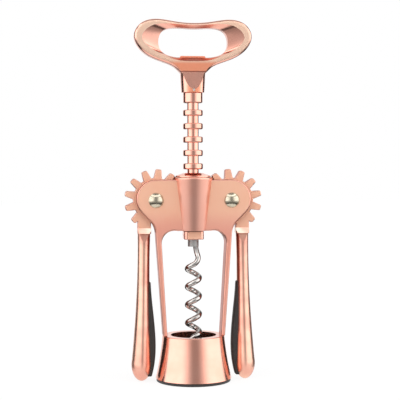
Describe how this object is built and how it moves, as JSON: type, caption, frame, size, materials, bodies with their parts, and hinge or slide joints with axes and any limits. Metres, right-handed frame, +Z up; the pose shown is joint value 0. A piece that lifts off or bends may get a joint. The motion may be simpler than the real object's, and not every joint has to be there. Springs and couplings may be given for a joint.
{
  "type": "wing corkscrew",
  "caption": "Double-lever wine opener: toothed side levers lift a ringed rack, a worm turns inside it under a cap-lifter handle, and a flared bell sits on the bottle.",
  "frame": {"origin": "middle of the foot ring's underside, on the worm's axis", "axes": "+Z up along the worm, +X to the right lever as seen from the front, front at -Y"},
  "size_m": [0.072, 0.04, 0.1898],
  "materials": {
    "rose_gold": "polished rose-gold plate on a zinc casting",
    "steel": "bright steel",
    "black_plastic": "satin",
    "soft_grip": "matte"
  },
  "bodies": {
    "frame": {"frame": "rose_gold", "bell": "rose_gold", "bell_liner": "black_plastic", "top_bush": "black_plastic", "lower_bush": "black_plastic", "left_rivet": "steel", "right_rivet": "steel", "pivot_washers": "steel"},
    "rack": {"rack_sleeve": "rose_gold"},
    "screw": {"worm": "steel", "stop_collar": "rose_gold", "collar_pin": "steel", "lower_washer": "steel", "upper_washer": "steel", "handle_hub": "rose_gold", "opener_handle": "rose_gold", "handle_pin": "steel"},
    "left_lever": {"left_lever": "rose_gold", "left_grip": "soft_grip"},
    "right_lever": {"right_lever": "rose_gold", "right_grip": "soft_grip"}
  },
  "joints": [
    {"name": "rack_slide", "type": "slide", "parent": "frame", "child": "rack", "axis": [0, 0, 1], "range_m": [-0.036, 0]},
    {"name": "screw_spin", "type": "hinge", "parent": "rack", "child": "screw", "pos_m": [0, 0, 0.08], "axis": [0, 0, 1], "continuous": true},
    {"name": "left_lever_swing", "type": "hinge", "parent": "frame", "child": "left_lever", "pos_m": [-0.0199, 0, 0.0953], "axis": [0, 1, 0], "range_deg": [0, 142.5]},
    {"name": "right_lever_swing", "type": "hinge", "parent": "frame", "child": "right_lever", "pos_m": [0.0199, 0, 0.0953], "axis": [0, -1, 0], "range_deg": [0, 142.5]}
  ],
  "couplings": [
    {"joint": "left_lever_swing", "follows": "rack_slide", "rad_per_m": -69.046},
    {"joint": "right_lever_swing", "follows": "rack_slide", "rad_per_m": -69.046}
  ]
}
